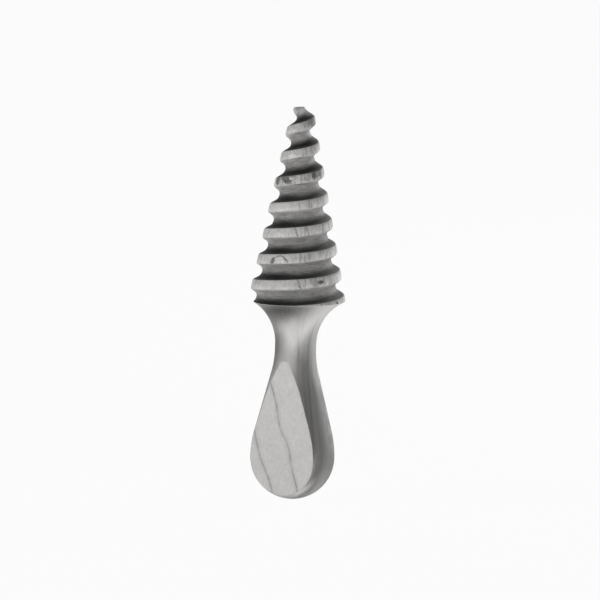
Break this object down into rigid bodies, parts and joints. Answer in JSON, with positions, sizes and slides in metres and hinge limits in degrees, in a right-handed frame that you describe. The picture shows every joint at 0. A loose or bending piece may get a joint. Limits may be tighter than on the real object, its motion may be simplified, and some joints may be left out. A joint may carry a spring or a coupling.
{
  "type": "oral screw",
  "caption": "Tapered wooden screw with a right-hand carved groove, a flared waist and a pear-shaped handle with two flats, turned between the teeth to open a locked jaw.",
  "frame": {"origin": "on the axis at the end of the handle's round bulb", "axes": "+Z along the axis from the handle to the tip; the handle's two flats face -Y and +Y"},
  "size_m": [0.0262, 0.026, 0.108],
  "materials": {
    "pale_wood": "scraped and handled, dull"
  },
  "bodies": {
    "root": {"oral_screw": "pale_wood"}
  },
  "joints": []
}
